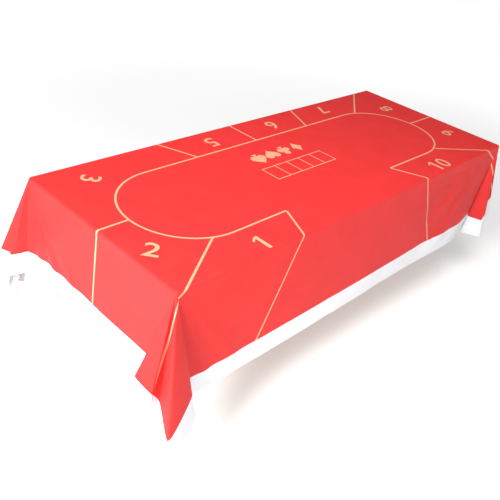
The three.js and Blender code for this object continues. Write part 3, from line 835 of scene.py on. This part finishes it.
def plywood():
    """Birch plywood: a flamed face veneer along X, and light and dark plies on the edges."""
    made = Nodes("birch_plywood")
    place = made.coordinates("Object", (1, 1, 1))
    grain = made.noise(made.coordinates("Object", (1.3, 22, 22)), 3.0, 7, 0.62)
    flame = made.add("ShaderNodeTexWave", wave_type="BANDS", bands_direction="Y")
    flame.inputs["Scale"].default_value = 3.2
    flame.inputs["Distortion"].default_value = 9.0
    flame.inputs["Detail"].default_value = 3
    flame.inputs["Detail Scale"].default_value = 0.6
    made.link(made.coordinates("Object", (0.5, 1.6, 1)), flame.inputs["Vector"])
    tone = made.mixed(grain, flame.outputs["Fac"], 0.16)
    face = made.ramp(tone, [(0.22, (0.45, 0.27, 0.13)), (0.5, (0.62, 0.42, 0.23)), (0.8, (0.74, 0.55, 0.34))])
    height = made.add("ShaderNodeSeparateXYZ")
    made.link(place, height.inputs["Vector"])
    underside, ply = 0.045, 0.0036
    above = made.math("SUBTRACT", height.outputs["Z"], underside)
    plies = made.math("FRACT", made.math("MULTIPLY", above, 1 / ply))
    edge = made.ramp(made.math("ADD", plies, made.math("MULTIPLY", grain, 0.12)),
                     [(0.0, (0.60, 0.41, 0.24)), (0.50, (0.66, 0.47, 0.29)), (0.56, (0.30, 0.17, 0.09)),
                      (1.0, (0.36, 0.21, 0.11))])
    facing = made.add("ShaderNodeNewGeometry")
    direction = made.add("ShaderNodeSeparateXYZ")
    made.link(facing.outputs["True Normal"], direction.inputs["Vector"])
    level = made.math("GREATER_THAN", made.math("ABSOLUTE", direction.outputs["Z"]), 0.5)
    mix = made.add("ShaderNodeMix", data_type="RGBA")
    made.link(level, mix.inputs["Factor"])
    made.link(edge, mix.inputs["A"])
    made.link(face, mix.inputs["B"])
    made.link(mix.outputs["Result"], made.shader.inputs["Base Color"])
    made.link(made.scaled(grain, 0.25, 0.38), made.shader.inputs["Roughness"])
    made.bump(grain, 0.25, 0.0006)
    return made.material


def pine():
    """Planed softwood battens, with their grain along the longer side and a few darker latewood lines."""
    made = Nodes("planed_pine")
    grain = made.noise(made.coordinates("Object", (4, 4, 26)), 4.0, 6, 0.6)
    lines = made.add("ShaderNodeTexWave", wave_type="BANDS", bands_direction="Z")
    lines.inputs["Scale"].default_value = 28
    lines.inputs["Distortion"].default_value = 5.0
    lines.inputs["Detail"].default_value = 2
    made.link(made.coordinates("Object", (0.25, 0.25, 1)), lines.inputs["Vector"])
    tone = made.mixed(grain, lines.outputs["Fac"], 0.20)
    shades = [(0.2, (0.50, 0.30, 0.13)), (0.5, (0.70, 0.48, 0.25)), (0.8, (0.80, 0.60, 0.36))]
    made.link(made.ramp(tone, shades), made.shader.inputs["Base Color"])
    made.link(made.scaled(grain, 0.2, 0.48), made.shader.inputs["Roughness"])
    made.bump(grain, 0.3, 0.0007)
    return made.material


def zinc(name, base, roughness):
    """Zinc plated steel: fine rolling marks and cloudy plating."""
    made = Nodes(name)
    cloud = made.noise(made.coordinates("Object", (1, 1, 1)), 60, 5, 0.6)
    marks = made.noise(made.coordinates("Object", (60, 900, 900)), 1.0, 3, 0.6)
    darker = tuple(value * 0.78 for value in base)
    made.link(made.ramp(cloud, [(0.3, darker), (0.7, base)]), made.shader.inputs["Base Color"])
    made.link(made.scaled(cloud, 0.22, roughness - 0.1), made.shader.inputs["Roughness"])
    made.bump(marks, 0.15, 0.0001)
    made.set(Metallic=1.0)
    return made.material


def moulded(name, base, roughness, grain_scale):
    """Moulded rubber or plastic with a fine spark-eroded grain."""
    made = Nodes(name)
    place = made.coordinates("Object", (1, 1, 1))
    grain = made.noise(place, grain_scale, 4, 0.6)
    wear = made.noise(place, 45, 5, 0.6)
    lighter = tuple(value * 1.9 + 0.004 for value in base)
    made.link(made.ramp(wear, [(0.35, base), (0.75, lighter)]), made.shader.inputs["Base Color"])
    made.link(made.scaled(wear, 0.2, roughness - 0.1), made.shader.inputs["Roughness"])
    made.bump(grain, 0.3, 0.0002)
    return made.material


def thread():
    """White polyester sewing thread."""
    made = Nodes("hem_thread")
    twist = made.noise(made.coordinates("Object", (1, 1, 1)), 900, 2, 0.5)
    made.link(made.ramp(twist, [(0.3, (0.70, 0.70, 0.72)), (0.7, (0.84, 0.84, 0.86))]),
              made.shader.inputs["Base Color"])
    made.bump(twist, 0.4, 0.0002)
    made.set(Roughness=0.6, Sheen_Weight=0.3)
    return made.material


def dress_cad_nodes():
    """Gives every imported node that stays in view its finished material, by its slot in the record."""
    finishes = {
        "plywood": plywood(),
        "pine": pine(),
        "zinc": zinc("zinc_plate", (0.62, 0.63, 0.64), 0.34),
        "screw": zinc("screw_steel", (0.50, 0.51, 0.52), 0.30),
        "rubber": moulded("black_rubber", (0.018, 0.018, 0.019), 0.82, 900),
        "plastic": moulded("black_nylon", (0.020, 0.020, 0.022), 0.48, 1500),
    }
    for row in frame["record"]["subparts"]:
        finish = finishes.get(row["material_slot"])
        node = bpy.data.objects.get(row["node"])
        if finish and node:
            for slot in node.material_slots:
                slot.material = finish


# ---------------------------------------------------------------- camera, floor and light

def camera():
    """The photograph's view: from the near left, above, with the camera rolled a little to the left."""
    forward = Vector((0.64453, 0.53747, -0.54378))
    up = Vector((0.31067, 0.46576, 0.82858))
    right = forward.cross(up)
    view = bpy.data.objects.new("camera", bpy.data.cameras.new("camera"))
    bpy.context.scene.collection.objects.link(view)
    turn = Matrix((right, up, -forward)).transposed().to_4x4()
    corner = Vector((-HALF_LENGTH, -HALF_WIDTH, DECK_TOP + CLOTH_REST))
    view.matrix_world = Matrix.Translation(corner + Vector((-0.92405, -0.99731, 1.04309))) @ turn
    view.data.sensor_width = 36
    view.data.lens = 45.9
    view.data.clip_end = 60
    bpy.context.scene.camera = view


def floor():
    """A plain, nearly white floor, as far down as a table of normal height is tall, with a painted glow: its
    emission is brighter far away.
    """
    table_height = 0.76
    size = 40
    z = DECK_TOP - table_height
    mesh = bpy.data.meshes.new("floor")
    mesh.from_pydata([(x, y, z) for x, y in ((-size, -size), (size, -size), (size, size), (-size, size))],
                     [], [(0, 1, 2, 3)])
    plane = bpy.data.objects.new("floor", mesh)
    bpy.context.scene.collection.objects.link(plane)
    made = Nodes("floor")
    made.set(Base_Color=(0.9, 0.9, 0.9, 1), Roughness=0.9, Specular_IOR_Level=0.1)
    # Painted light: the floor glows by its own emission, stronger further from the table, standing in for a
    # lit sweep and softening its shadows.
    made.set(Emission_Color=(1, 1, 1, 1))
    distance = made.add("ShaderNodeVectorMath", operation="LENGTH")
    made.link(made.coordinates("Object", (1, 1, 1)), distance.inputs[0])
    near_and_far = {"From Min": 1.5, "From Max": 4.5, "To Min": 0.32, "To Max": 0.75}
    painted_glow = made.add("ShaderNodeMapRange", **near_and_far)
    made.link(distance.outputs["Value"], painted_glow.inputs["Value"])
    made.link(painted_glow.outputs["Result"], made.shader.inputs["Emission Strength"])
    mesh.materials.append(made.material)


def area_light(name, place, target, size, power, colour=(1, 1, 1)):
    lamp = bpy.data.lights.new(name, "AREA")
    lamp.shape = "DISK"
    lamp.size = size
    lamp.energy = power
    lamp.color = colour
    holder = bpy.data.objects.new(name, lamp)
    holder.location = place
    holder.rotation_euler = (Vector(target) - Vector(place)).to_track_quat("-Z", "Y").to_euler()
    bpy.context.scene.collection.objects.link(holder)


def lights():
    """Soft studio light: a key past the left end, a weaker one overhead and a pale room."""
    area_light("key", (-3.25, -0.8, 1.2), (-0.6, -0.2, 0.0), 1.0, 165)
    area_light("overhead", (-0.7, -0.8, 2.4), (-0.3, -0.1, 0.0), 1.6, 46)
    world = bpy.data.worlds.new("room")
    bpy.context.scene.world = world
    world.use_nodes = True
    world.node_tree.nodes["Background"].inputs["Color"].default_value = (1, 1, 1, 1)
    world.node_tree.nodes["Background"].inputs["Strength"].default_value = 0.25


def plain_colours():
    """Shows colours as they are, because the default film look washes the red out."""
    bpy.context.scene.view_settings.view_transform = "Standard"


# ---------------------------------------------------------------- assembly

def dress_table():
    surface = Drape()
    materials = [
        fabric("cloth_red_print", (0.75, 0.032, 0.031), (0.83, 0.042, 0.040), 0.50, 0.02, (1.0, 0.7, 0.7)),
        fabric("cloth_gold_print", (0.79, 0.35, 0.20), (0.87, 0.43, 0.26), 0.50, 0.03, (1.0, 0.9, 0.8)),
        fabric("cloth_white_border", (0.88, 0.89, 0.92), (0.93, 0.94, 0.97), 0.55, 0.05, (1, 1, 1)),
        fabric("cloth_reverse", (0.80, 0.42, 0.40), (0.86, 0.50, 0.48), 0.62, 0.2, (1, 1, 1)),
        fabric("cloth_border_reverse", (0.76, 0.77, 0.81), (0.82, 0.83, 0.87), 0.6, 0.2, (1, 1, 1)),
    ]
    flat, triangles, ink = flat_cut()
    cloth = cloth_piece(surface, flat, triangles, ink, materials)
    stitches = stitch_piece(surface, thread())
    for piece in (cloth, stitches):
        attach(piece, "layout_cloth")
    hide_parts("layout_cloth")


dress_table()
dress_cad_nodes()
camera()
floor()
lights()
plain_colours()
